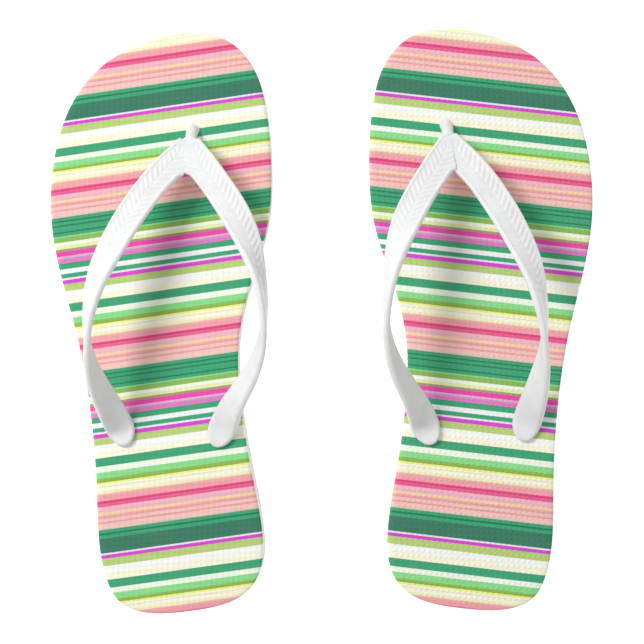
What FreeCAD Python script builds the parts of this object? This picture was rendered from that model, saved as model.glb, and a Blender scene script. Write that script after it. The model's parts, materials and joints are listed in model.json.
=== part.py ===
"""A pair of thong flip flops, in millimetres: X to the wearer's right, Y to the toes, Z up.

Each sole is laminated from a printed footbed, a soft midsole and a treaded outsole, and three
holes go through it. One moulded thong strap is held in those holes by the plugs under it.
Each layer is modelled in two halves that meet at the ball of the foot, where the rubber bends.
The right sandal is drawn in a frame of its own, with its heel at y = 0 and its little toe at
+X, and is then set down beside the middle of the pair. The left sandal is its mirror image.
"""

import FreeCAD, Part

import math
import os

import Sketcher
from FreeCAD import Matrix, Placement, Rotation, Vector

DIMENSIONS = {
    "sole_length": 265,
    "forefoot_thickness": 15,
    "heel_thickness": 19,
    "footbed_thickness": 3,
    "outsole_thickness": 4,
    "bond_line": 0.05,
    "flex_line": 176,
    "flex_slit": 0.2,
    "stem_radius": 3,
    "stem_hole_radius": 3.1,
    "plug_radius": 8,
    "plug_thickness": 2.6,
    "plug_hole_radius": 8.6,
    "band_width": 13,
    "band_thickness": 3,
    "post_radius": 2.8,
    "groove_width": 2.2,
    "groove_depth": 1.2,
    "groove_pitch": 10,
    "groove_count": 24,
    "toe_out_angle": 7.3,
    "half_spacing": 72.7,
}

# The sole's outline at its drawn length, anticlockwise from the middle of the heel, by the
# outer side, the toe and the inner side. A smooth closed curve passes through these points.
DRAWN_LENGTH = 265
OUTLINE = [
    (7, 0), (19, 0.5), (29.5, 2.7), (38.4, 8.2), (43, 18.5), (44.4, 32), (42.2, 60), (40.2, 93),
    (41.2, 128), (44.6, 157), (46.2, 183), (42.6, 209), (32, 235.6), (15, 254),
    (-8, 263.6), (-25, 265), (-42.5, 261.8), (-55, 249.5), (-60.3, 226), (-58.8, 198),
    (-53.2, 171), (-42.4, 147), (-32.6, 120), (-29.6, 92), (-30.2, 60), (-31.2, 32),
    (-29.4, 18.5), (-24.4, 8.8), (-16, 2.9), (-5, 0.4),
]

# The plan position of the three holes.
TOE_HOLE = (-25.5, 220)
INNER_HOLE = (-18.5, 79.5)
OUTER_HOLE = (26.3, 86.5)

# The two arms of the strap, from the V above the toe post back to the side holes. Each station
# is x, y, height above the footbed, tilt of the band's width and share of its full width. The
# tilt is measured from level pointing at the foot: past 90 degrees the inner face looks up.
INNER_ARM = [
    (-24.2, 214, 10.5, 8, 0.6), (-26.2, 205.5, 14, 8, 1.0), (-31.3, 194.5, 19.5, 10, 1.07),
    (-37.5, 181.5, 26, 15, 1.08), (-42.6, 166, 32.5, 32, 1.04), (-45.4, 149, 37, 66, 0.96),
    (-45.6, 132, 37.5, 85, 0.92), (-42.6, 117, 33.5, 104, 0.92), (-35.2, 103.5, 25, 127, 0.96),
    (-25.2, 90.5, 11.5, 150, 1.02), (-18.5, 79.5, 2, 178, 1.02),
]
OUTER_ARM = [
    (-23.4, 214, 10.5, 8, 0.6), (-17, 205.8, 13.8, 8, 1.0), (-9, 198.4, 17.2, 10, 1.06),
    (-0.4, 189, 21.8, 14, 1.08), (7.2, 179.3, 26.4, 18, 1.08), (13.4, 170, 30.5, 25, 1.07),
    (18.7, 161, 34, 36, 1.04), (22.8, 152, 36.4, 51, 1.0), (25.9, 143, 37.5, 65, 0.96),
    (28.3, 134, 36.6, 77, 0.93), (29.6, 126, 34.2, 88, 0.92), (30.1, 115.3, 28, 112, 0.94),
    (29.2, 105.4, 19, 136, 0.98), (27.7, 95.3, 9.2, 156, 1.02), (26.3, 86.5, 2, 178, 1.02),
]

doc = FreeCAD.newDocument("flip_flops")
sheet = doc.addObject("Spreadsheet::Sheet", "Dims")
for row, (alias, number) in enumerate(DIMENSIONS.items(), start=1):
    sheet.set(f"A{row}", alias.replace("_", " "))
    sheet.set(f"B{row}", str(number))
    sheet.setAlias(f"B{row}", alias)
doc.recompute()


def size(alias):
    """The number in the sheet's cell of that alias."""
    return float(sheet.get(alias))


def plan(x, y, z=0):
    """A point of the drawn outline, holes or strap, at the sole's real length."""
    scale = size("sole_length") / DRAWN_LENGTH
    return Vector(x * scale, y * scale, z)


def surface_height(y):
    """Height of the footbed above the floor: level at the toes, climbing to the heel."""
    climb_start, climb_end = 150, 45
    low, high = size("forefoot_thickness"), size("heel_thickness")
    share = min(1, max(0, (climb_start - y) / (climb_start - climb_end)))
    return low + (high - low) * share * share * (3 - 2 * share)


def add_body(name):
    return doc.addObject("PartDesign::Body", name)


def add_sketch(body, role, name):
    """A sketch on the body's own origin plane of that role."""
    sketch = body.newObject("Sketcher::SketchObject", name)
    plane = next(f for f in body.Origin.OriginFeatures if f.Role == role)
    sketch.AttachmentSupport = [(plane, "")]
    sketch.MapMode = "FlatFace"
    return sketch


def add_polygon(sketch, corners):
    """A closed outline of straight lines through the corners."""
    for i, corner in enumerate(corners):
        sketch.addGeometry(Part.LineSegment(Vector(*corners[i - 1], 0), Vector(*corner, 0)))


def sole_prism(name, height):
    """The sole's outline, extruded up from the floor. The height is an expression."""
    body = add_body(name)
    sketch = add_sketch(body, "XY_Plane", name + "_outline")
    curve = Part.BSplineCurve()
    curve.interpolate(Points=[plan(x, y) for x, y in OUTLINE], PeriodicFlag=True)
    sketch.addGeometry(curve)
    pad = body.newObject("PartDesign::Pad", name + "_pad")
    pad.Profile = sketch
    pad.setExpression("Length", height)
    return body


def pierce(body, radius_alias):
    """Three round holes straight up through the body, their radius bound to the sheet."""
    for name, hole in (("toe", TOE_HOLE), ("inner", INNER_HOLE), ("outer", OUTER_HOLE)):
        sketch = add_sketch(body, "XY_Plane", f"{body.Name}_{name}_circle")
        centre = plan(*hole)
        sketch.addGeometry(Part.Circle(centre, Vector(0, 0, 1), size(radius_alias)))
        sketch.addConstraint(Sketcher.Constraint("DistanceX", -1, 1, 0, 3, centre.x))
        sketch.addConstraint(Sketcher.Constraint("DistanceY", -1, 1, 0, 3, centre.y))
        sketch.addConstraint(Sketcher.Constraint("Radius", 0, size(radius_alias)))
        sketch.renameConstraint(2, "radius")
        sketch.setExpression("Constraints.radius", f"Dims.{radius_alias}")
        hole_pocket = body.newObject("PartDesign::Pocket", f"{body.Name}_{name}_hole")
        hole_pocket.Profile = sketch
        hole_pocket.Type = "ThroughAll"
        hole_pocket.Reversed = True


def cut_tread(body):
    """Zigzag grooves across the underside, repeated from the heel to the toe."""
    inner_end, outer_end, teeth = -64, 52, 8
    first_row, tooth_height = 12, 4
    step = (outer_end - inner_end) / (2 * teeth)
    front_edge = [
        (inner_end + i * step, first_row + tooth_height * (i % 2)) for i in range(2 * teeth + 1)
    ]
    back_edge = [(x, y - size("groove_width")) for x, y in reversed(front_edge)]
    sketch = add_sketch(body, "XY_Plane", body.Name + "_zigzag")
    add_polygon(sketch, front_edge + back_edge)
    groove = body.newObject("PartDesign::Pocket", body.Name + "_groove")
    groove.Profile = sketch
    groove.setExpression("Length", "Dims.groove_depth")
    groove.Reversed = True
    rows = body.newObject("PartDesign::LinearPattern", body.Name + "_tread")
    rows.Originals = [groove]
    rows.Direction = (sketch, ["V_Axis"])
    rows.setExpression("Length", "Dims.groove_pitch * (Dims.groove_count - 1)")
    rows.setExpression("Occurrences", "Dims.groove_count")
    body.Tip = rows


def side_curve(drop):
    """The footbed's line seen from the side, lowered by drop, from the heel to the toe."""
    step = 15
    stations = range(-step, int(size("sole_length")) + 2 * step, step)
    curve = Part.BSplineCurve()
    curve.interpolate([Vector(y, surface_height(y) - drop, 0) for y in stations])
    return curve


def layer_slab(name, top_drop, bottom_curve):
    """A slab wider than the sole, between the footbed's line lowered by top_drop and a curve."""
    body = add_body(name)
    sketch = add_sketch(body, "YZ_Plane", name + "_side")
    top = side_curve(top_drop)
    sketch.addGeometry(top)
    sketch.addGeometry(bottom_curve)
    sketch.addGeometry(Part.LineSegment(bottom_curve.StartPoint, top.StartPoint))
    sketch.addGeometry(Part.LineSegment(bottom_curve.EndPoint, top.EndPoint))
    pad = body.newObject("PartDesign::Pad", name + "_pad")
    pad.Profile = sketch
    pad.Midplane = True
    pad.setExpression("Length", "Dims.sole_length")
    return body


def flex_regions():
    """Boxes round the front and the rear of the sole, with the flex line between them."""
    rear = doc.addObject("Part::Box", "rear_region")
    front = doc.addObject("Part::Box", "front_region")
    for box in (rear, front):
        box.Placement.Base = Vector(-100, -20, -10)
        box.Length = 200
        box.Height = 60
    rear.setExpression("Width", "Dims.flex_line + 20")
    front.setExpression("Width", "Dims.sole_length")
    front.setExpression("Placement.Base.y", "Dims.flex_line + Dims.flex_slit")
    return {"front": front, "rear": rear}


def sole_layers():
    """The three layers of the sole, each in a front and a rear half."""
    core = sole_prism("sole_core", "Dims.heel_thickness + 5")
    pierce(core, "stem_hole_radius")
    tread = sole_prism("outsole_sheet", "Dims.outsole_thickness")
    pierce(tread, "plug_hole_radius")
    cut_tread(tread)

    footbed_thickness = size("footbed_thickness")
    bond_line = size("bond_line")
    footbed_slab = layer_slab("footbed_slab", 0, side_curve(footbed_thickness))
    ends = side_curve(0)
    level = size("outsole_thickness") + bond_line
    heel_end, toe_end = ends.StartPoint.x, ends.EndPoint.x
    bottom = Part.LineSegment(Vector(heel_end, level, 0), Vector(toe_end, level, 0))
    midsole_slab = layer_slab("midsole_slab", footbed_thickness + bond_line, bottom)

    made_of = {
        "footbed": [core, footbed_slab],
        "midsole": [core, midsole_slab],
        "outsole": [tread],
    }
    layers = {}
    for half, region in flex_regions().items():
        for layer, solids in made_of.items():
            piece = doc.addObject("Part::MultiCommon", f"{layer}_{half}")
            piece.Shapes = solids + [region]
            layers[f"{layer}_{half}"] = piece
    return layers


def band_frames(stations, toward_foot):
    """Centre, width direction, outer normal and width share of the band at each station.

    toward_foot is the sign of X on which the foot lies.
    """
    centres = [plan(x, y, surface_height(y) + height) for x, y, height, _, _ in stations]
    curve = Part.BSplineCurve()
    curve.interpolate(centres)
    frames = []
    for centre, (_, _, _, tilt, share) in zip(centres, stations):
        along = curve.tangent(curve.parameter(centre))[0]
        if centre == centres[-1]:
            along.z = 0
        across = Vector(0, 0, toward_foot).cross(along).normalize()
        lift = along.cross(across).normalize() * toward_foot
        angle = math.radians(tilt)
        width = across * math.cos(angle) + lift * math.sin(angle)
        normal = lift * math.cos(angle) - across * math.sin(angle)
        frames.append((centre, width, normal, share))
    return frames


def band_section(name, centre, width, normal, share):
    """A rectangular section of the band, its sides bound to the sheet."""
    sketch = doc.addObject("Sketcher::SketchObject", name)
    a = size("band_width") * share / 2
    b = size("band_thickness") / 2
    add_polygon(sketch, [(-a, -b), (a, -b), (a, b), (-a, b)])
    rules = [Sketcher.Constraint("Coincident", (i - 1) % 4, 2, i, 1) for i in range(4)]
    rules += [Sketcher.Constraint("Vertical", i) for i in (0, 2)]
    rules += [Sketcher.Constraint("Horizontal", i) for i in (1, 3)]
    rules += [Sketcher.Constraint("Symmetric", 1, 1, 2, 2, -1, 1)]
    rules += [Sketcher.Constraint("DistanceX", 1, 1, 1, 2, 2 * a)]
    rules += [Sketcher.Constraint("DistanceY", 2, 1, 2, 2, 2 * b)]
    sketch.addConstraint(rules)
    sketch.renameConstraint(9, "width")
    sketch.renameConstraint(10, "thickness")
    sketch.setExpression("Constraints.width", f"Dims.band_width * {share}")
    sketch.setExpression("Constraints.thickness", "Dims.band_thickness")
    along = width.cross(normal)
    sketch.Placement = Placement(Matrix(
        width.x, normal.x, along.x, centre.x,
        width.y, normal.y, along.y, centre.y,
        width.z, normal.z, along.z, centre.z,
        0, 0, 0, 1,
    ))
    return sketch


def add_cylinder(name, radius, height, base, direction):
    """A cylinder from base along direction. Its radius is an expression on the sheet."""
    cylinder = doc.addObject("Part::Cylinder", name)
    cylinder.setExpression("Radius", radius)
    cylinder.Height = height
    cylinder.Placement = Placement(base, Rotation(Vector(0, 0, 1), direction))
    return cylinder


def add_sphere(name, radius, centre):
    """A sphere whose radius is an expression on the sheet."""
    sphere = doc.addObject("Part::Sphere", name)
    sphere.setExpression("Radius", radius)
    sphere.Placement.Base = centre
    return sphere


def strap_arm(name, stations, toward_foot):
    """One arm of the strap, with the round paddle over its side hole."""
    frames = band_frames(stations, toward_foot)
    band = doc.addObject("Part::Loft", name + "_band")
    band.Sections = [band_section(f"{name}_section_{i}", *frame) for i, frame in enumerate(frames)]
    band.Solid = True
    thickness = size("band_thickness")
    base = frames[-1][0] - Vector(0, 0, thickness / 2)
    paddle = add_cylinder(name + "_paddle", "Dims.band_width / 2", thickness, base, Vector(0, 0, 1))
    return [band, paddle]


def strap_anchor(name, hole, top):
    """A stem down through the sole, and the round plug in the outsole that holds it."""
    up = Vector(0, 0, 1)
    thickness = size("plug_thickness")
    foot = plan(*hole, size("outsole_thickness") - size("bond_line") - thickness)
    plug = add_cylinder(name + "_plug", "Dims.plug_radius", thickness, foot, up)
    stem = add_cylinder(name + "_stem", "Dims.stem_radius", top - foot.z, foot, up)
    return [plug, stem]


def thong_strap():
    """The strap: two arms, the toe post and three plugged stems, moulded in one piece."""
    pieces = strap_arm("inner_arm", INNER_ARM, 1) + strap_arm("outer_arm", OUTER_ARM, -1)
    for name, hole, arm in (("inner", INNER_HOLE, INNER_ARM), ("outer", OUTER_HOLE, OUTER_ARM)):
        pieces += strap_anchor(name, hole, surface_height(hole[1]) + arm[-1][2])
    post_foot = plan(*TOE_HOLE, surface_height(TOE_HOLE[1]) + 1)
    pieces += strap_anchor("toe", TOE_HOLE, post_foot.z)
    x, y, height = INNER_ARM[0][:3]
    lean = plan(x, y, surface_height(y) + height) - post_foot
    pieces.append(add_cylinder("toe_post", "Dims.post_radius", lean.Length, post_foot, lean))
    pieces.append(add_sphere("toe_post_foot", "Dims.stem_radius", post_foot))
    pieces.append(add_sphere("toe_post_head", "Dims.post_radius + 0.2", post_foot + lean))
    strap = doc.addObject("Part::MultiFuse", "strap")
    strap.Shapes = pieces
    return strap


def sandal_placement(outline):
    """Turns the right sandal's toe out and puts the middle of the pair at the origin."""
    turn = Rotation(Vector(0, 0, 1), -size("toe_out_angle"))
    middle = turn.multVec(Vector(0, size("sole_length") / 2, 0))
    box = outline.transformed(Placement(Vector(), turn).Matrix).optimalBoundingBox()
    return Placement(Vector(size("half_spacing") - middle.x, -(box.YMin + box.YMax) / 2, 0), turn)


def make_pair(pieces):
    """Sets the right sandal's pieces down and mirrors each of them for the left sandal."""
    placement = sandal_placement(doc.getObject("outsole_sheet_pad").Shape)
    nodes = []
    for name, piece in pieces.items():
        piece.Label = "right_" + name
        piece.Placement = placement
        mirrored = doc.addObject("Part::Mirroring", "mirrored_" + name)
        mirrored.Source = piece
        mirrored.Normal = Vector(1, 0, 0)
        mirrored.Label = "left_" + name
        nodes += [piece, mirrored]
    doc.recompute()
    return nodes


def check(nodes):
    """Stops the build if a feature failed or a sub-part isn't one valid solid."""
    for item in doc.Objects:
        if any(word in item.State for word in ("Invalid", "Error")):
            raise RuntimeError(f"{item.Name} failed: {item.State}")
    for node in nodes:
        if node.Shape.isNull() or not node.Shape.isValid():
            raise RuntimeError(f"{node.Label} has no valid shape")
        if len(node.Shape.Solids) != 1:
            raise RuntimeError(f"{node.Label} is {len(node.Shape.Solids)} solids")


pieces = sole_layers()
pieces["strap"] = thong_strap()
doc.recompute()
nodes = make_pair(pieces)
check(nodes)

os.makedirs("parts", exist_ok=True)
for node in nodes:
    node.Shape.exportStep(f"parts/{node.Label}.step")
    print(f"{node.Label}: {node.Shape.Volume / 1000:.2f} cm3")
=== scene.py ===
"""Looks of the pair of flip flops: printed footbeds, foam soles, treads and moulded straps.

Every piece is drawn once for the right sandal, in that sandal's own frame and in millimetres:
y runs from the heel to the toe, +x is the outer side and z = 0 is the floor. The frame's toe
hinge says where that frame lies in the row, and the left sandal is the mirror image.
"""
import json
import math

import bpy
import numpy as np
from mathutils import Matrix, Vector
from mathutils.geometry import delaunay_2d_cdt


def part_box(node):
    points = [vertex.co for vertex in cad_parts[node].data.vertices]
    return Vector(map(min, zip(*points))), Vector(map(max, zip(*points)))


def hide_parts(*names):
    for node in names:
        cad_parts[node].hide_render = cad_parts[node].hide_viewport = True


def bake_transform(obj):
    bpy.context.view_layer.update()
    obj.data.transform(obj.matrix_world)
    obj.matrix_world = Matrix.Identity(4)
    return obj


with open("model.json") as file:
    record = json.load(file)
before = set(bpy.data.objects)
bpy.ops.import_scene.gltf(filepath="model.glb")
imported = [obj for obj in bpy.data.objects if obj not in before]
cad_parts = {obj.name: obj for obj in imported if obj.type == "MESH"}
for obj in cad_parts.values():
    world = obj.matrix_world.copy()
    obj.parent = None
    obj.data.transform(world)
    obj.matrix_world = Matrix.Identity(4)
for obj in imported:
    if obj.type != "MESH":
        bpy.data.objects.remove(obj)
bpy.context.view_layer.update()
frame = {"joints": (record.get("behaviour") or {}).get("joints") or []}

MM = 0.001

# ---------------------------------------------------------------- sizes, in mm

OUTLINE = [
    (7, 0), (19, 0.5), (29.5, 2.7), (38.4, 8.2), (43, 18.5), (44.4, 32), (42.2, 60), (40.2, 93),
    (41.2, 128), (44.6, 157), (46.2, 183), (42.6, 209), (32, 235.6), (15, 254),
    (-8, 263.6), (-25, 265), (-42.5, 261.8), (-55, 249.5), (-60.3, 226), (-58.8, 198),
    (-53.2, 171), (-42.4, 147), (-32.6, 120), (-29.6, 92), (-30.2, 60), (-31.2, 32),
    (-29.4, 18.5), (-24.4, 8.8), (-16, 2.9), (-5, 0.4),
]
OUTLINE_STEP = 0.7

TOE_HOLE = (-25.5, 220)
INNER_HOLE = (-18.5, 79.5)
OUTER_HOLE = (26.3, 86.5)
PLUG_RADIUS = 8
PLUG_THICKNESS = 2.6
COUNTERBORE_RADIUS = 8.6

FLEX_LINE = 176.1
HINGE_X = -6

TOE_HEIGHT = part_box("right_footbed_front")[1].z / MM
HEEL_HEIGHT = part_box("right_footbed_rear")[1].z / MM
CLIMB = (150, 45)
FOOTBED = 3
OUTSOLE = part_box("right_outsole_front")[1].z / MM

# Strap arms: x, y, height over the footbed, tilt of the width past level, share of full width.
INNER_ARM = [
    (-24.2, 214, 10.5, 8, 0.6), (-26.2, 205.5, 14, 8, 1.0), (-31.3, 194.5, 19.5, 10, 1.07),
    (-37.5, 181.5, 26, 15, 1.08), (-42.6, 166, 32.5, 32, 1.04), (-45.4, 149, 37, 66, 0.96),
    (-45.6, 132, 37.5, 85, 0.92), (-42.6, 117, 33.5, 104, 0.92), (-35.2, 103.5, 25, 127, 0.96),
    (-25.2, 90.5, 11.5, 150, 1.02), (-18.5, 79.5, 2, 178, 1.02),
]
OUTER_ARM = [
    (-23.4, 214, 10.5, 8, 0.6), (-17, 205.8, 13.8, 8, 1.0), (-9, 198.4, 17.2, 10, 1.06),
    (-0.4, 189, 21.8, 14, 1.08), (7.2, 179.3, 26.4, 18, 1.08), (13.4, 170, 30.5, 25, 1.07),
    (18.7, 161, 34, 36, 1.04), (22.8, 152, 36.4, 51, 1.0), (25.9, 143, 37.5, 65, 0.96),
    (28.3, 134, 36.6, 77, 0.93), (29.6, 126, 34.2, 88, 0.92), (30.1, 115.3, 28, 112, 0.94),
    (29.2, 105.4, 19, 136, 0.98), (27.7, 95.3, 9.2, 156, 1.02), (26.3, 86.5, 2, 178, 1.02),
]
BAND_WIDTH = 13
BAND_THICKNESS = 3
V_TIP = (-23.8, 214.5)
V_LINE = (0.26, -0.965)

# ---------------------------------------------------------------- curves and regions


def smooth(low, high, value):
    """0 below low, 1 above high and a smooth climb between. It falls where low is above high."""
    t = np.clip((np.asarray(value, float) - low) / (high - low), 0, 1)
    return t * t * (3 - 2 * t)


def quarter_round(share):
    """The height of a quarter circle: 0 at share 0 and 1 from share 1 on."""
    return np.sqrt(1 - (1 - np.clip(share, 0, 1)) ** 2)


def surface(y):
    """Height of the footbed over the floor."""
    return TOE_HEIGHT + (HEEL_HEIGHT - TOE_HEIGHT) * smooth(*CLIMB, y)


def spline(points, step, closed=False):
    """Cubic spline through the rows of points, with rows every step along it."""
    p = np.array(points, float)
    if closed:
        p = np.vstack([p, p[:1]])
    width = 2 if closed else 3
    h = np.linalg.norm(np.diff(p[:, :width], axis=0), axis=1)
    knots = np.concatenate([[0], np.cumsum(h)])
    n = len(p)
    a = np.zeros((n, n))
    b = np.zeros_like(p)
    slope = np.diff(p, axis=0) / h[:, None]
    for i in range(1, n - 1):
        a[i, i - 1:i + 2] = h[i - 1], 2 * (h[i - 1] + h[i]), h[i]
        b[i] = 6 * (slope[i] - slope[i - 1])
    if closed:
        a[0, [0, 1, n - 2]] = 2 * (h[-1] + h[0]), h[0], h[-1]
        b[0] = 6 * (slope[0] - slope[-1])
        a[-1, [0, -1]] = 1, -1
    else:
        a[0, 0] = a[-1, -1] = 1
    m = np.linalg.solve(a, b)

    def at(t):
        i = np.clip(np.searchsorted(knots, t, side="right") - 1, 0, n - 2)
        u, v, w = (t - knots[i])[:, None], (knots[i + 1] - t)[:, None], h[i][:, None]
        return (
            (m[i] * v**3 + m[i + 1] * u**3) / (6 * w)
            + (p[i] / w - m[i] * w / 6) * v
            + (p[i + 1] / w - m[i + 1] * w / 6) * u
        )

    fine = np.linspace(0, knots[-1], 4000)
    run = np.linalg.norm(np.diff(at(fine)[:, :width], axis=0), axis=1)
    run = np.concatenate([[0], np.cumsum(run)])
    even = np.linspace(0, run[-1], int(run[-1] / step), endpoint=not closed)
    return at(np.interp(even, run, fine))


def inside(points, loop):
    """Which of the points lie inside a closed loop."""
    found = np.zeros(len(points), bool)
    x, y = points[:, 0], points[:, 1]
    for (ax, ay), (bx, by) in zip(loop, np.roll(loop, -1, axis=0)):
        if ay != by:
            found ^= ((ay > y) != (by > y)) & (x < (bx - ax) * (y - ay) / (by - ay) + ax)
    return found


def inset(loop, distance):
    """The anticlockwise loop moved inwards."""
    along = np.roll(loop, -1, axis=0) - np.roll(loop, 1, axis=0)
    along /= np.linalg.norm(along, axis=1)[:, None]
    return loop + distance * np.column_stack([-along[:, 1], along[:, 0]])


def circle(centre, radius, count=72):
    angles = np.arange(count) * 2 * math.pi / count
    return np.array(centre) + radius * np.column_stack([np.cos(angles), np.sin(angles)])


def lattice(across, along, turn=0):
    """Staggered rows of points that cover the sole, turned by an angle in degrees."""
    reach = 200
    rows = np.arange(-reach, reach, across)
    line = np.arange(-reach, reach, along)
    grid = np.array([(x, r) for i, r in enumerate(rows) for x in line + along / 2 * (i % 2)])
    c, s = math.cos(math.radians(turn)), math.sin(math.radians(turn))
    return grid @ np.array([[c, s], [-s, c]]) + (0, 132)


def triangulate(loops, points, lines=()):
    """Triangles over the first loop's inside, less the other loops' insides.

    Returns the points, whose first rows are the loops in order, and the triangles.
    """
    rows = [*loops, points, *lines]
    starts = np.cumsum([0] + [len(r) for r in rows])
    edges = []
    for loop, start in zip(loops, starts):
        edges += [(start + i, start + (i + 1) % len(loop)) for i in range(len(loop))]
    for line, start in zip(lines, starts[len(loops) + 1:]):
        edges += [(start + i, start + i + 1) for i in range(len(line) - 1)]
    flat = [Vector(p) for p in np.vstack(rows)]
    verts, _, faces, *_ = delaunay_2d_cdt(flat, edges, [], 0, 1e-6)
    verts = np.array([tuple(v) for v in verts])
    faces = np.array(faces)
    middles = verts[faces].mean(axis=1)
    keep = inside(middles, loops[0])
    for loop in loops[1:]:
        keep &= ~inside(middles, loop)
    return verts, faces[keep]


def wall_faces(rings, count):
    """The four-sided faces between rings of count points, numbered ring after ring."""
    faces = []
    for ring in range(rings - 1):
        low, high = ring * count, (ring + 1) * count
        for i in range(count):
            j = (i + 1) % count
            faces.append((low + i, low + j, high + j, high + i))
    return faces


def tube_faces(rings, count):
    """The wall between the rings, and one face over each end."""
    ends = [list(range(count))[::-1], [(rings - 1) * count + i for i in range(count)]]
    return wall_faces(rings, count) + ends


# ---------------------------------------------------------------- the sandal's place in the row

hinge = next(j for j in frame["joints"] if j["name"] == "right_toe_flex")
across_axis = Vector(hinge["axis"])
forward_axis = Vector((0, 0, 1)).cross(across_axis)
hinge_floor = Vector((hinge["pos_m"][0], hinge["pos_m"][1], 0))
origin = hinge_floor - across_axis * HINGE_X * MM - forward_axis * FLEX_LINE * MM
TO_ROW = Matrix.Translation(origin) @ Matrix((
    (across_axis.x, forward_axis.x, 0, 0),
    (across_axis.y, forward_axis.y, 0, 0),
    (0, 0, 1, 0),
    (0, 0, 0, 1),
)) @ Matrix.Scale(MM, 4)
UV_SPAN = 300
SIDES = ("right", "left")


def add_piece(name, points, faces, materials, face_materials=None, crease=None, sides=SIDES):
    """A mesh for the right sandal and its mirror image for the left, with the plan as UVs.

    points are rows of x, y, z. faces are rows of point numbers, outward by the right hand.
    """
    pieces = {}
    points = np.asarray(points, float)
    for side in sides:
        mesh = bpy.data.meshes.new(f"{side}_{name}")
        mesh.from_pydata(points.tolist(), [], [list(map(int, f)) for f in faces])
        uv = mesh.uv_layers.new(name="plan")
        corners = np.zeros(len(mesh.loops), np.int32)
        mesh.loops.foreach_get("vertex_index", corners)
        flat = points[corners][:, :2] / UV_SPAN + (0.5, 0.05)
        uv.data.foreach_set("uv", flat.astype(np.float32).ravel())
        for material in materials:
            mesh.materials.append(material)
        if face_materials is not None:
            mesh.polygons.foreach_set("material_index", np.asarray(face_materials, np.int32))
        mesh.polygons.foreach_set("use_smooth", np.ones(len(mesh.polygons), bool))
        mesh.transform(TO_ROW)
        if side == "left":
            mesh.transform(Matrix.Scale(-1, 4, (1, 0, 0)))
            mesh.flip_normals()
        mesh.update()
        if crease:
            mesh.set_sharp_from_angle(angle=math.radians(crease))
        piece = bpy.data.objects.new(f"{side}_{name}_skin", mesh)
        bpy.context.scene.collection.objects.link(piece)
        pieces[side] = piece
    return pieces


def bend_with_toes(pieces, nodes):
    """Each piece's transform is baked into its mesh, and it stands for its sandal's CAD nodes,
    which are hidden.
    """
    for side, piece in pieces.items():
        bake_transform(piece)
        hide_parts(*[f"{side}_{node}" for node in nodes])


# ---------------------------------------------------------------- materials


def linear(colour):
    """An sRGB colour such as 'f6a8ae' as linear RGBA."""
    parts = [int(colour[i:i + 2], 16) / 255 for i in (0, 2, 4)]
    return [p / 12.92 if p <= 0.04045 else ((p + 0.055) / 1.055) ** 2.4 for p in parts] + [1]


class Nodes:
    """Short calls for building one material's node tree."""

    def __init__(self, name):
        self.material = bpy.data.materials.new(name)
        self.material.use_nodes = True
        self.tree = self.material.node_tree
        self.shader = self.tree.nodes["Principled BSDF"]

    def link(self, value, socket):
        if isinstance(value, bpy.types.NodeSocket):
            self.tree.links.new(value, socket)
        else:
            socket.default_value = value

    def math(self, operation, a, b=0.0):
        node = self.tree.nodes.new("ShaderNodeMath")
        node.operation = operation
        self.link(a, node.inputs[0])
        self.link(b, node.inputs[1])
        return node.outputs[0]

    def step(self, value, low, high, to_low=0.0, to_high=1.0):
        """A smooth climb from to_low to to_high as value goes from low to high."""
        node = self.tree.nodes.new("ShaderNodeMapRange")
        node.interpolation_type = "SMOOTHSTEP"
        for socket, number in zip(node.inputs, (value, low, high, to_low, to_high)):
            self.link(number, socket)
        return node.outputs[0]

    def mix(self, share, a, b):
        node = self.tree.nodes.new("ShaderNodeMix")
        node.data_type = "RGBA"
        self.link(share, node.inputs["Factor"])
        colours = [s for s in node.inputs if s.type == "RGBA"]
        self.link(a, colours[0])
        self.link(b, colours[1])
        return next(s for s in node.outputs if s.type == "RGBA")

    def noise(self, vector, scale, detail=3.0, roughness=0.5):
        node = self.tree.nodes.new("ShaderNodeTexNoise")
        self.link(vector, node.inputs["Vector"])
        node.inputs["Scale"].default_value = scale
        node.inputs["Detail"].default_value = detail
        node.inputs["Roughness"].default_value = roughness
        return node.outputs["Fac"]

    def cells(self, vector, scale):
        node = self.tree.nodes.new("ShaderNodeTexVoronoi")
        self.link(vector, node.inputs["Vector"])
        node.inputs["Scale"].default_value = scale
        return node.outputs["Distance"]

    def plan(self):
        """The sandal's own x, y in mm, read back from the plan UVs on the rubber."""
        uv = self.tree.nodes.new("ShaderNodeUVMap")
        uv.uv_map = "plan"
        parts = self.tree.nodes.new("ShaderNodeSeparateXYZ")
        self.tree.links.new(uv.outputs[0], parts.inputs[0])
        x = self.math("MULTIPLY", self.math("SUBTRACT", parts.outputs[0], 0.5), UV_SPAN)
        y = self.math("MULTIPLY", self.math("SUBTRACT", parts.outputs[1], 0.05), UV_SPAN)
        return x, y

    def object_place(self):
        return self.tree.nodes.new("ShaderNodeTexCoord").outputs["Object"]

    def bump(self, height, strength, distance):
        node = self.tree.nodes.new("ShaderNodeBump")
        node.inputs["Strength"].default_value = strength
        node.inputs["Distance"].default_value = distance
        self.link(height, node.inputs["Height"])
        self.link(node.outputs[0], self.shader.inputs["Normal"])

    def finish(self, colour, roughness, specular):
        self.link(colour, self.shader.inputs["Base Color"])
        self.link(roughness, self.shader.inputs["Roughness"])
        self.shader.inputs["Specular IOR Level"].default_value = specular
        return self.material


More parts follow.
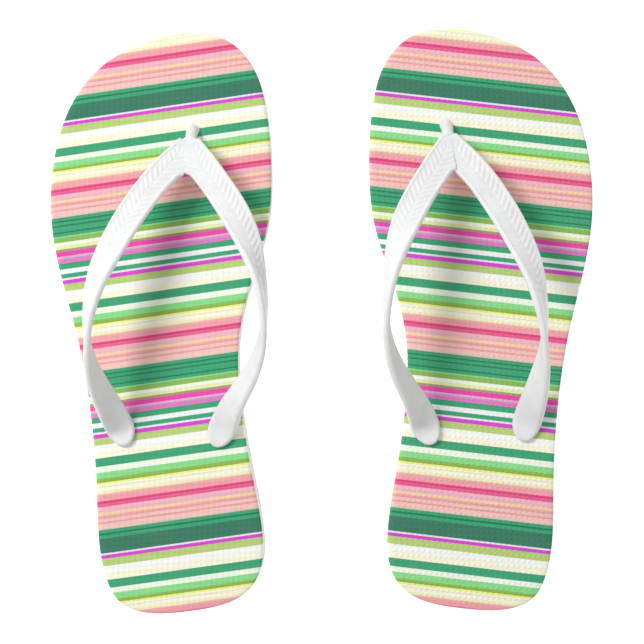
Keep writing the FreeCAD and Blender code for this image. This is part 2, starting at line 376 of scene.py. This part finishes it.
# The print's inks.
INKS = {
    "olive": "98b440", "yellow": "f0f890", "cream": "fcfae0", "tan cream": "f0e8d0",
    "pale yellow": "f4f4c8", "pale gold": "f8e8c0", "gold": "f8d8a8", "tan pink": "f4c8b8",
    "pink": "f4acb0", "rose": "e8a4a8", "light hot pink": "fc9cb0", "deep rose": "e04c80",
    "bright pink": "f46498", "dusky rose": "e06894", "light pink": "f8bcc4", "mauve": "f0b4cc",
    "pale pink": "f8c8c0", "beige": "e4c8bc", "green": "44a87c", "deep green": "288058",
    "teal": "408068", "light green": "90e090", "moss": "90bc60", "lime": "bcd480",
    "lime cream": "e8f0b4", "olive brown": "a4a078", "magenta": "ec50b0", "pale orchid": "ecb4d8",
    "grey mauve": "c0a8c0", "orchid": "e87cc8", "violet": "d850d0", "lilac white": "f4e8f8",
    "mint white": "f4f8f8", "white": "fcfcf8", "off white": "f4fcec",
}
# Stripes from the toe towards the heel: where each ends, in mm from its block's first line, and
# its ink. Every block starts with the shared run, and goes on with the long or short run.
SHARED_RUN = [
    (0.7, "olive"), (1.6, "yellow"), (2.4, "cream"), (3.0, "tan cream"), (4.6, "cream"),
    (5.4, "pale yellow"), (5.9, "pale gold"), (6.2, "tan pink"), (7.4, "pink"), (7.8, "rose"),
    (8.5, "pink"), (9.2, "light hot pink"), (10.3, "deep rose"), (11.0, "bright pink"),
    (11.8, "dusky rose"), (13.2, "light pink"), (14.2, "mauve"), (14.6, "tan pink"),
    (15.7, "gold"), (16.5, "pink"), (17.2, "rose"), (18.7, "pale pink"), (19.5, "rose"),
    (21.6, "pale pink"), (22.3, "beige"),
]
LONG_RUN = [
    (23.9, "green"), (24.5, "deep green"), (25.9, "green"), (26.5, "deep green"), (29.0, "green"),
    (29.6, "deep green"), (31.0, "green"), (31.6, "light green"), (33.8, "moss"),
    (35.3, "off white"), (37.0, "lime cream"), (38.1, "olive brown"), (40.3, "magenta"),
    (41.1, "pale orchid"), (41.7, "grey mauve"), (43.5, "orchid"), (46.2, "green"),
    (48.4, "mint white"), (50.4, "green"), (51.3, "lilac white"), (53.2, "violet"),
    (56.4, "lime"), (59.5, "white"), (62.3, "cream"), (66.2, "green"), (68.9, "off white"),
    (71.7, "light green"), (73.0, "moss"),
]
SHORT_RUN = [
    (23.9, "green"), (24.7, "deep green"), (26.3, "green"), (33.1, "teal"), (33.9, "lilac white"),
    (35.5, "violet"), (39.0, "lime"), (42.1, "white"), (45.4, "cream"), (49.2, "green"),
    (51.6, "off white"), (54.5, "light green"), (55.3, "moss"),
]
# Where each block's first line lies, in mm from the heel, and whether its long run follows.
BLOCKS = [(265.8, False), (210.8, True), (137.9, True), (65.0, False), (9.7, True)]
PRINT_EDGE = 0.12


def stripe_chain(nodes, place, stripes, first):
    """Colours that change at each stripe's end as place grows."""
    colour = linear(INKS[first])
    for (edge, _), (_, following) in zip(stripes, stripes[1:]):
        share = nodes.step(place, edge - PRINT_EDGE, edge + PRINT_EDGE)
        colour = nodes.mix(share, colour, linear(INKS[following]))
    return colour


def footbed_print():
    """Matt printed rubber: stripes across the sole, a fine cloth grain and slight mottling."""
    nodes = Nodes("footbed_print")
    x, y = nodes.plan()
    place = nodes.math("SUBTRACT", BLOCKS[0][0], y)
    is_long = 0.0
    for (before, was_long), (start, long_run) in zip(BLOCKS, BLOCKS[1:]):
        past = nodes.math("LESS_THAN", y, start)
        place = nodes.math("SUBTRACT", place, nodes.math("MULTIPLY", past, before - start))
        if was_long != long_run:
            change = 1.0 if long_run else -1.0
            is_long = nodes.math("ADD", is_long, nodes.math("MULTIPLY", past, change))
    long_colour = stripe_chain(nodes, place, SHARED_RUN + LONG_RUN, SHARED_RUN[0][1])
    short_colour = stripe_chain(nodes, place, SHARED_RUN[-1:] + SHORT_RUN, SHARED_RUN[-1][1])
    past_shared = nodes.math("GREATER_THAN", place, SHARED_RUN[-1][0] - 0.4)
    is_short = nodes.math("MULTIPLY", past_shared, nodes.math("SUBTRACT", 1.0, is_long))
    colour = nodes.mix(is_short, long_colour, short_colour)

    position = nodes.object_place()
    mottle = nodes.step(nodes.noise(position, 900, 4), 0.35, 0.7, 0.0, 0.05)
    colour = nodes.mix(mottle, colour, linear("6f6a60"))
    cloud = nodes.step(nodes.noise(position, 60, 2), 0.3, 0.75, 0.0, 0.03)
    colour = nodes.mix(cloud, colour, linear("b8a890"))
    grain = nodes.noise(position, 2600, 2)
    nodes.bump(grain, 0.25, 0.0002)
    return nodes.finish(colour, nodes.step(grain, 0.3, 0.7, 0.6, 0.78), 0.06)


def foam(name, tint, shade, grain_scale, roughness):
    """Closed-cell foam or moulded rubber: a fine pebble grain, faint uneven colour, and painted
    shade in the grain's dimples.
    """
    nodes = Nodes(name)
    position = nodes.object_place()
    cells = nodes.cells(position, grain_scale)
    cloud = nodes.step(nodes.noise(position, 45, 4, 0.6), 0.35, 0.7)
    colour = nodes.mix(cloud, linear(tint), linear(shade))
    # Painted shade: the colour darkens towards grey at the cell centres, where the pebble grain's
    # bump dips.
    colour = nodes.mix(nodes.step(cells, 0.0, 0.35, 0.16, 0.0), colour, linear("b9b6ae"))
    nodes.bump(cells, 0.35, 0.0003)
    return nodes.finish(colour, nodes.step(cloud, 0.0, 1.0, roughness, roughness + 0.12), 0.4)


def strap_rubber():
    """White moulded rubber with a satin skin and the faint flow marks of its mould."""
    nodes = Nodes("strap_rubber")
    position = nodes.object_place()
    cloud = nodes.noise(position, 120, 4, 0.6)
    colour = nodes.mix(nodes.step(cloud, 0.3, 0.75), linear("ebecec"), linear("e4e5e5"))
    skin = nodes.noise(position, 3200, 3)
    nodes.bump(skin, 0.12, 0.00012)
    nodes.shader.inputs["Subsurface Weight"].default_value = 0.2
    nodes.shader.inputs["Subsurface Scale"].default_value = 0.0012
    return nodes.finish(colour, nodes.step(skin, 0.3, 0.7, 0.4, 0.52), 0.3)


# ---------------------------------------------------------------- soles

outline = spline(OUTLINE, OUTLINE_STEP, closed=True)
CAP_ROOM = 0.35


def layer(name, profile, top_points, top_height, bottom_height, materials, under_material=0):
    """A closed layer of the sole: a cap under it, a side wall of rings, and a cap over it.

    profile gives each ring's inset, which of 'bottom' and 'top' it is measured from, and how
    far above it the ring is. The heights are functions of x and y.
    """
    rings = []
    for depth, anchor, rise in profile:
        loop = inset(outline, depth)
        base = bottom_height if anchor == "bottom" else top_height
        rings.append(np.column_stack([loop, base(loop[:, 0], loop[:, 1]) + rise]))
    count = len(outline)
    points = list(np.vstack(rings))
    faces = wall_faces(len(rings), count)
    kinds = [0] * len(faces)
    for ring, height, spread, flip in (
        (0, bottom_height, lattice(6, 6), True), (len(rings) - 1, top_height, top_points, False)
    ):
        loop = rings[ring][:, :2]
        inner = spread[inside(spread, inset(loop, CAP_ROOM))]
        verts, triangles = triangulate([loop], inner)
        number = np.arange(len(verts)) + len(points) - count
        number[:count] = np.arange(count) + ring * count
        rise = height(verts[count:, 0], verts[count:, 1])
        points += list(np.column_stack([verts[count:], rise]))
        triangles = number[triangles]
        faces += list(triangles[:, ::-1] if flip else triangles)
        kinds += [under_material if flip else 0] * len(triangles)
    return add_piece(name, points, faces, materials, kinds, crease=50)


def edge_distance(x, y):
    """Distance of each point from the outline, right near the edge and never too small."""
    p = np.column_stack([x, y])
    nearest = np.full(len(p), 1e9)
    for q in outline[::2]:
        nearest = np.minimum(nearest, np.hypot(p[:, 0] - q[0], p[:, 1] - q[1]))
    return nearest


GRAIN_TURN = 52
GRAIN_ALONG = 3.4
GRAIN_ACROSS = 1.9
GRAIN_HEIGHT = 0.42


def rice_grain(x, y):
    """Height of the rice texture: long low bumps in staggered rows, fading at the sole's edge."""
    c, s = math.cos(math.radians(GRAIN_TURN)), math.sin(math.radians(GRAIN_TURN))
    along = c * x + s * (y - 132)
    across = -s * x + c * (y - 132)
    row = np.round(across / GRAIN_ACROSS)
    along = along + GRAIN_ALONG / 2 * (row % 2)
    u = (along / GRAIN_ALONG - np.round(along / GRAIN_ALONG)) / 0.44
    v = (across / GRAIN_ACROSS - row) / 0.44
    bump = np.sqrt(np.clip(1 - u * u - v * v, 0, 1))
    return GRAIN_HEIGHT * bump * smooth(1.6, 3.2, edge_distance(x, y))


def make_footbed():
    """The printed top layer, with its rice texture and a rounded rim."""
    radius = 1.6
    profile = [(0.4, "bottom", 0), (0.12, "bottom", 0.12), (0, "bottom", 0.4), (0, "bottom", 0.9)]
    for angle in range(0, 91, 15):
        a = math.radians(angle)
        profile.append((radius * (1 - math.cos(a)), "top", radius * (math.sin(a) - 1)))
    grains = lattice(GRAIN_ACROSS / 3, GRAIN_ALONG / 4, GRAIN_TURN)
    pieces = layer(
        "footbed", profile, grains,
        lambda x, y: surface(y) + rice_grain(x, y),
        lambda x, y: surface(y) - FOOTBED,
        [footbed_print(), foam("footbed_under", "f2f1ec", "e9e7e0", 1500, 0.6)], under_material=1,
    )
    bend_with_toes(pieces, ["footbed_front", "footbed_rear"])


def make_midsole():
    """The foam core, with softened corners at its two bond lines."""
    profile = [(0.45, "bottom", 0), (0.14, "bottom", 0.12), (0, "bottom", 0.45)]
    profile += [(0.25 * math.sin(math.pi * k / 8), "bottom", 0.45 + 0.9 * k) for k in range(1, 7)]
    profile += [(0, "top", -0.45), (0.14, "top", -0.12), (0.45, "top", 0)]
    pieces = layer(
        "midsole", profile, lattice(6, 6),
        lambda x, y: surface(y) - FOOTBED,
        lambda x, y: np.full(len(x), float(OUTSOLE)),
        # The foam greys are partly the foam's own off-white and partly painted shade, darkened to
        # stand in for the shade on the side walls.
        [foam("midsole_foam", "e4e3de", "d8d6d0", 1300, 0.62)],
    )
    bend_with_toes(pieces, ["midsole_front", "midsole_rear"])


GROOVE_WIDTH = 2.2
GROOVE_DEPTH = 1.2
GROOVE_PITCH = 10
GROOVE_COUNT = 24
FIRST_GROOVE = 12
TOOTH_WIDTH = 7.25
TOOTH_HEIGHT = 4
TREAD_INNER_END = -64
KINK_COUNT = 17
LUG_CHAMFER = 0.5


def zigzag(x):
    """How far forward the tread's grooves lie at x."""
    return TOOTH_HEIGHT * np.abs((((x - TREAD_INNER_END) / TOOTH_WIDTH + 1) % 2) - 1)


def in_groove(points):
    offset = points[:, 1] - FIRST_GROOVE - zigzag(points[:, 0])
    row = np.ceil(offset / GROOVE_PITCH)
    within = row * GROOVE_PITCH - offset < GROOVE_WIDTH
    return within & (row >= 0) & (row < GROOVE_COUNT)


def make_outsole():
    """The floor layer: zigzag grooves open at the sides, and three counterbores for the plugs."""
    bores = [circle(hole, COUNTERBORE_RADIUS) for hole in (TOE_HOLE, INNER_HOLE, OUTER_HOLE)]
    loops = [outline, *[b[::-1] for b in bores]]
    kinks = TREAD_INNER_END + TOOTH_WIDTH * np.arange(KINK_COUNT)
    lines = []
    for k in range(GROOVE_COUNT):
        for back in (0, -GROOVE_WIDTH):
            front = FIRST_GROOVE + k * GROOVE_PITCH + back + zigzag(kinks)
            lines.append(np.column_stack([kinks, front]))
    verts, triangles = triangulate(loops, lattice(5, 5), lines)
    level = np.where(in_groove(verts[triangles].mean(axis=1)), GROOVE_DEPTH, 0.0)

    points, faces, found = [], [], {}
    near_edge = {}

    def corner(i, z):
        """The number of plan point i at height z. The lugs' outer corners are drawn in."""
        key = (i, round(z, 3))
        if key not in found:
            found[key] = len(points)
            x, y = verts[i] + (near_edge.get(i, 0.0) if z == 0 else 0.0)
            points.append((x, y, z))
        return found[key]

    sides = {}
    for t, z in zip(triangles, level):
        for a, b in zip(t, np.roll(t, -1)):
            sides[(a, b)] = z
    border = [(a, b) for a, b in sides if (b, a) not in sides]
    for a, b in border:
        along = verts[b] - verts[a]
        along = along / np.linalg.norm(along)
        for end in (a, b):
            inwards = LUG_CHAMFER / 2 * np.array([-along[1], along[0]])
            near_edge[end] = near_edge.get(end, 0.0) + inwards
    for t, z in zip(triangles, level):
        faces.append([corner(i, z) for i in t[::-1]])
        faces.append([corner(i, OUTSOLE) for i in t])
    for (a, b), z in sides.items():
        other = sides.get((b, a))
        if other is not None and other > z:
            faces.append([corner(i, h) for i, h in ((a, z), (b, z), (b, other), (a, other))])
    for a, b in border:
        heights = [h for h in (0.0, GROOVE_DEPTH, OUTSOLE) if h >= sides[(a, b)]]
        for low, high in zip(heights, heights[1:]):
            faces.append([corner(i, h) for i, h in ((a, low), (b, low), (b, high), (a, high))])
    pieces = add_piece(
        "outsole", points, faces, [foam("outsole_rubber", "dfded9", "d2d0ca", 900, 0.5)], crease=30,
    )
    bend_with_toes(pieces, ["outsole_front", "outsole_rear"])


# ---------------------------------------------------------------- strap

# The ribbed panel lies between the rims. It narrows from the first y to the second.
RIB_FADE = (166, 128)
RIB_PITCH = 3.3
RIB_HEIGHT = 0.3
RIM_HEIGHT = 0.22
RIM_WIDTH = 1.7
ROW_STEP = 0.36
FACE_COLUMNS = 40
BACK_COLUMNS = 14
PADDLE_REACH = 6.8
PADDLE_TAPER = 10
EDGE_RADIUS = 1.3
NOSE_LENGTH = 1.8
TAIL_LENGTH = 2.0
# The arms meet at a ridge, and pass it by a little, over this length from the V's tip.
RIDGE_OVERLAP = 0.2
RIDGE_REACH = 40
UNLIMITED = 9
STEM_RADIUS = 3
PROFILE_LIFT = 0.001
# The soft arms of the left strap stand a little wider than those of the right.
ARM_SPREAD = {"right": -2.4, "left": 2.4}


def arm_rows(stations, toward_foot, spread=0):
    """Rows along an arm: centre, width direction, outward normal, half width and distances.

    spread moves the arm away from the other arm, by so much where it stands highest.
    """
    top = max(station[2] for station in stations)
    rows = [
        (x - toward_foot * spread * h / top, y, surface(y) + h, tilt, share)
        for x, y, h, tilt, share in stations
    ]
    (ax, ay), (bx, by) = rows[-2][:2], rows[-1][:2]
    away = np.array([bx - ax, by - ay]) / math.hypot(bx - ax, by - ay)
    tip = np.array(rows[-1][:2]) + away * PADDLE_REACH
    rows.append((tip[0], tip[1], surface(tip[1]) + stations[-1][2], 180, 1.0))
    line = spline(rows, ROW_STEP)
    centre, tilt, share = line[:, :3], np.radians(line[:, 3]), line[:, 4]
    along = np.gradient(centre, axis=0)
    along /= np.linalg.norm(along, axis=1)[:, None]
    across = np.cross([0, 0, toward_foot], along)
    across /= np.linalg.norm(across, axis=1)[:, None]
    lift = np.cross(along, across) * toward_foot
    c, s = np.cos(tilt)[:, None], np.sin(tilt)[:, None]
    width = across * c + lift * s
    normal = lift * c - across * s
    run = np.arange(len(line)) * ROW_STEP
    left = run[-1] - run
    half = BAND_WIDTH / 2 * share
    half = half * quarter_round((left + 0.05) / PADDLE_TAPER)
    return centre, width, normal, half, run, left


def strap_arm(stations, toward_foot, spread):
    """Points and faces of one arm: a ribbed face between two rims, and a smooth back."""
    centre, width, normal, half, run, left = arm_rows(stations, toward_foot, spread)
    away = np.array([-V_LINE[1], V_LINE[0]]) * toward_foot
    past = ((centre[:, :2] - V_TIP) @ away)[:, None]
    reach = (width[:, :2] @ away)[:, None]
    limit = (RIDGE_OVERLAP - past) / np.maximum(reach * half[:, None], 1e-6)
    faces_ridge = (reach > 0.05) & (run[:, None] < RIDGE_REACH)
    limit = np.where(faces_ridge, limit, UNLIMITED)
    # Near the V each arm reaches past its own width, until it meets the other arm.
    reach_past = 1 + 0.5 * smooth(17, 10, run[:, None])
    high = np.clip(limit, -0.6, reach_past)
    q = np.sin(np.linspace(-1, 1, FACE_COLUMNS) * math.pi / 2) * 0.35
    q = q + np.linspace(-1, 1, FACE_COLUMNS) * 0.65
    face_q = -1 + (q[None, :] + 1) / 2 * (high + 1)
    back_q = np.linspace(1, -1, BACK_COLUMNS + 2)[1:-1]
    back_q = -1 + (back_q[None, :] + 1) / 2 * (high + 1)

    y = centre[:, 1][:, None]
    h = half[:, None]
    nose = quarter_round((run + 0.1) / NOSE_LENGTH)[:, None]
    tail = quarter_round((left + 0.05) / TAIL_LENGTH)[:, None]
    thick = BAND_THICKNESS / 2 * nose * tail

    def rounding(place):
        """1 on the band's flat and 0 at its edges, as a quarter round."""
        side = np.where(place > 0, reach_past, 1)
        room = (side - np.abs(place)) * h / EDGE_RADIUS
        open_side = (high < reach_past - 0.001) & (place > 0)
        return quarter_round(np.where(open_side, 1.0, room))

    x = face_q * h
    rim = RIM_WIDTH + (h - RIM_WIDTH) * smooth(*RIB_FADE, y)
    outer_rim = smooth(0.5, -0.3, x + h - rim)
    inner_rim = smooth(-0.3, 0.5, x - h * reach_past + rim) * smooth(0, 0.25, limit - reach_past)
    rims = np.maximum(outer_rim, inner_rim)
    phase = (run[:, None] + np.abs(x)) / RIB_PITCH
    ridge = (0.5 + 0.5 * np.cos(2 * math.pi * phase)) ** 0.8
    spine = smooth(0.05, 0.55, np.abs(x))
    ribs = (ridge * spine - 0.75) * RIB_HEIGHT * smooth(3, 7, run)[:, None]
    relief = rims * RIM_HEIGHT + (1 - rims) * ribs
    relief = relief * smooth(0, 14, left)[:, None]
    face = thick * rounding(face_q) + relief * rounding(face_q) * nose
    back = -thick * rounding(back_q) * (1 - 0.12 * (1 - back_q**2))

    count = FACE_COLUMNS + BACK_COLUMNS
    offset = np.hstack([face, back])
    place = np.hstack([face_q, back_q]) * h
    points = centre[:, None, :] + place[..., None] * width[:, None, :]
    points = points + offset[..., None] * normal[:, None, :]
    faces = tube_faces(len(centre), count)
    if toward_foot < 0:
        faces = [f[::-1] for f in faces]
    return points.reshape(-1, 3), faces


def turned(centres, radii, segments=40):
    """A closed round body through the centres, which run along a path, with those radii."""
    centres = np.array(centres, float)
    along = np.gradient(centres, axis=0)
    along /= np.linalg.norm(along, axis=1)[:, None]
    side = np.cross(along, [1, 0, 0])
    side /= np.linalg.norm(side, axis=1)[:, None]
    other = np.cross(along, side)
    angles = np.arange(segments) * 2 * math.pi / segments
    ring = np.cos(angles)[None, :, None] * side[:, None, :]
    ring = ring + np.sin(angles)[None, :, None] * other[:, None, :]
    points = centres[:, None, :] + ring * np.array(radii, float)[:, None, None]
    return points.reshape(-1, 3), tube_faces(len(centres), segments)


def toe_post():
    """The post from the toe hole, leaning back and swelling into the V of the arms."""
    foot = np.array([*TOE_HOLE, surface(TOE_HOLE[1]) - 3])
    head = np.array([-23.9, 212.5, surface(212) + 11.2])
    steps = np.linspace(0, 1, 24)
    centres = np.array([foot + (head - foot) * t for t in steps])
    centres[:, 1] = TOE_HOLE[1] + (head[1] - TOE_HOLE[1]) * smooth(0.1, 1.05, steps)
    radii = 2.7 + 0.35 * smooth(0.4, 0.2, steps) + 1.4 * smooth(0.65, 1.0, steps)
    radii[-3:] *= (0.93, 0.72, 0.3)
    return turned(centres, radii)


def plug(hole):
    """The round plug in the outsole, with a rounded rim and a shallow dimple."""
    top = OUTSOLE - 0.05
    low = top - PLUG_THICKNESS
    profile = [
        (0.05, low + 0.5), (2.4, low + 0.5), (3.2, low + 0.1), (3.8, low), (7.2, low),
        (7.75, low + 0.2), (8, low + 0.7), (8, top - 0.3), (7.8, top), (0.05, top),
    ]
    centres = [(*hole, z + PROFILE_LIFT * k) for k, (_, z) in enumerate(profile)]
    return turned(centres, [radius for radius, _ in profile])


def stem(hole, low, high):
    """The round stem that joins a plug to the strap above the sole."""
    centres = [(*hole, low + (high - low) * t) for t in (0, 0.5, 1)]
    return turned(centres, [STEM_RADIUS] * 3, 24)


def make_strap(side):
    """One moulding: two arms, the toe post, and the stems and plugs that hold it."""
    spread = ARM_SPREAD[side]
    bodies = [strap_arm(INNER_ARM, 1, spread), strap_arm(OUTER_ARM, -1, spread), toe_post()]
    for hole in (TOE_HOLE, INNER_HOLE, OUTER_HOLE):
        bodies.append(plug(hole))
        bodies.append(stem(hole, OUTSOLE - 1.5, surface(hole[1]) + 0.8))
    points, faces = [], []
    for body_points, body_faces in bodies:
        faces += [[i + len(points) for i in f] for f in body_faces]
        points += body_points.tolist()
    pieces = add_piece("strap", points, faces, [strap_rubber()], crease=60, sides=[side])
    bend_with_toes(pieces, ["strap"])


make_footbed()
make_midsole()
make_outsole()
for side in SIDES:
    make_strap(side)

# ---------------------------------------------------------------- floor, light and camera


def make_floor():
    """A plain white studio floor."""
    size = 3
    mesh = bpy.data.meshes.new("floor")
    corners = [(-size, -size, 0), (size, -size, 0), (size, size, 0), (-size, size, 0)]
    mesh.from_pydata(corners, [], [(0, 1, 2, 3)])
    nodes = Nodes("floor")
    nodes.shader.inputs["Emission Color"].default_value = (1, 1, 1, 1)
    nodes.shader.inputs["Emission Strength"].default_value = 0.6
    mesh.materials.append(nodes.finish(linear("f4f4f4"), 0.8, 0.1))
    floor = bpy.data.objects.new("floor", mesh)
    bpy.context.scene.collection.objects.link(floor)


ROOM_LIGHT = 0.55
KEY_PLACE = Vector((-0.75, 0.55, 1.1))
KEY_SIZE = 0.4
KEY_POWER = 12


def make_light():
    """An even white room, and one large soft light high on the left beyond the toes."""
    world = bpy.data.worlds.new("studio")
    world.use_nodes = True
    background = world.node_tree.nodes["Background"]
    background.inputs["Color"].default_value = (1, 1, 1, 1)
    background.inputs["Strength"].default_value = ROOM_LIGHT
    bpy.context.scene.world = world
    light = bpy.data.lights.new("key", "AREA")
    light.size = KEY_SIZE
    light.energy = KEY_POWER
    lamp = bpy.data.objects.new("key", light)
    lamp.location = KEY_PLACE
    lamp.rotation_euler = (-KEY_PLACE).to_track_quat("-Z", "Y").to_euler()
    bpy.context.scene.collection.objects.link(lamp)


CAMERA_DISTANCE = 0.85
CAMERA_TILT = 1.6
CAMERA_ROLL = 0.8
VIEW_WIDTH = 0.297


def make_camera():
    """Looks straight down on the pair, a few degrees from the right."""
    camera = bpy.data.cameras.new("camera")
    camera.sensor_width = 36
    camera.lens = 36 * CAMERA_DISTANCE / VIEW_WIDTH
    camera.clip_start = 0.01
    eye = bpy.data.objects.new("camera", camera)
    target = Vector((0, -0.0006, 0.017))
    tilt = math.radians(CAMERA_TILT)
    eye.location = target + CAMERA_DISTANCE * Vector((math.sin(tilt), 0, math.cos(tilt)))
    turn = Matrix.Rotation(tilt, 4, "Y") @ Matrix.Rotation(math.radians(-CAMERA_ROLL), 4, "Z")
    eye.rotation_euler = turn.to_euler()
    bpy.context.scene.collection.objects.link(eye)
    bpy.context.scene.camera = eye


make_floor()
make_light()
make_camera()
bpy.context.scene.view_settings.view_transform = "Standard"
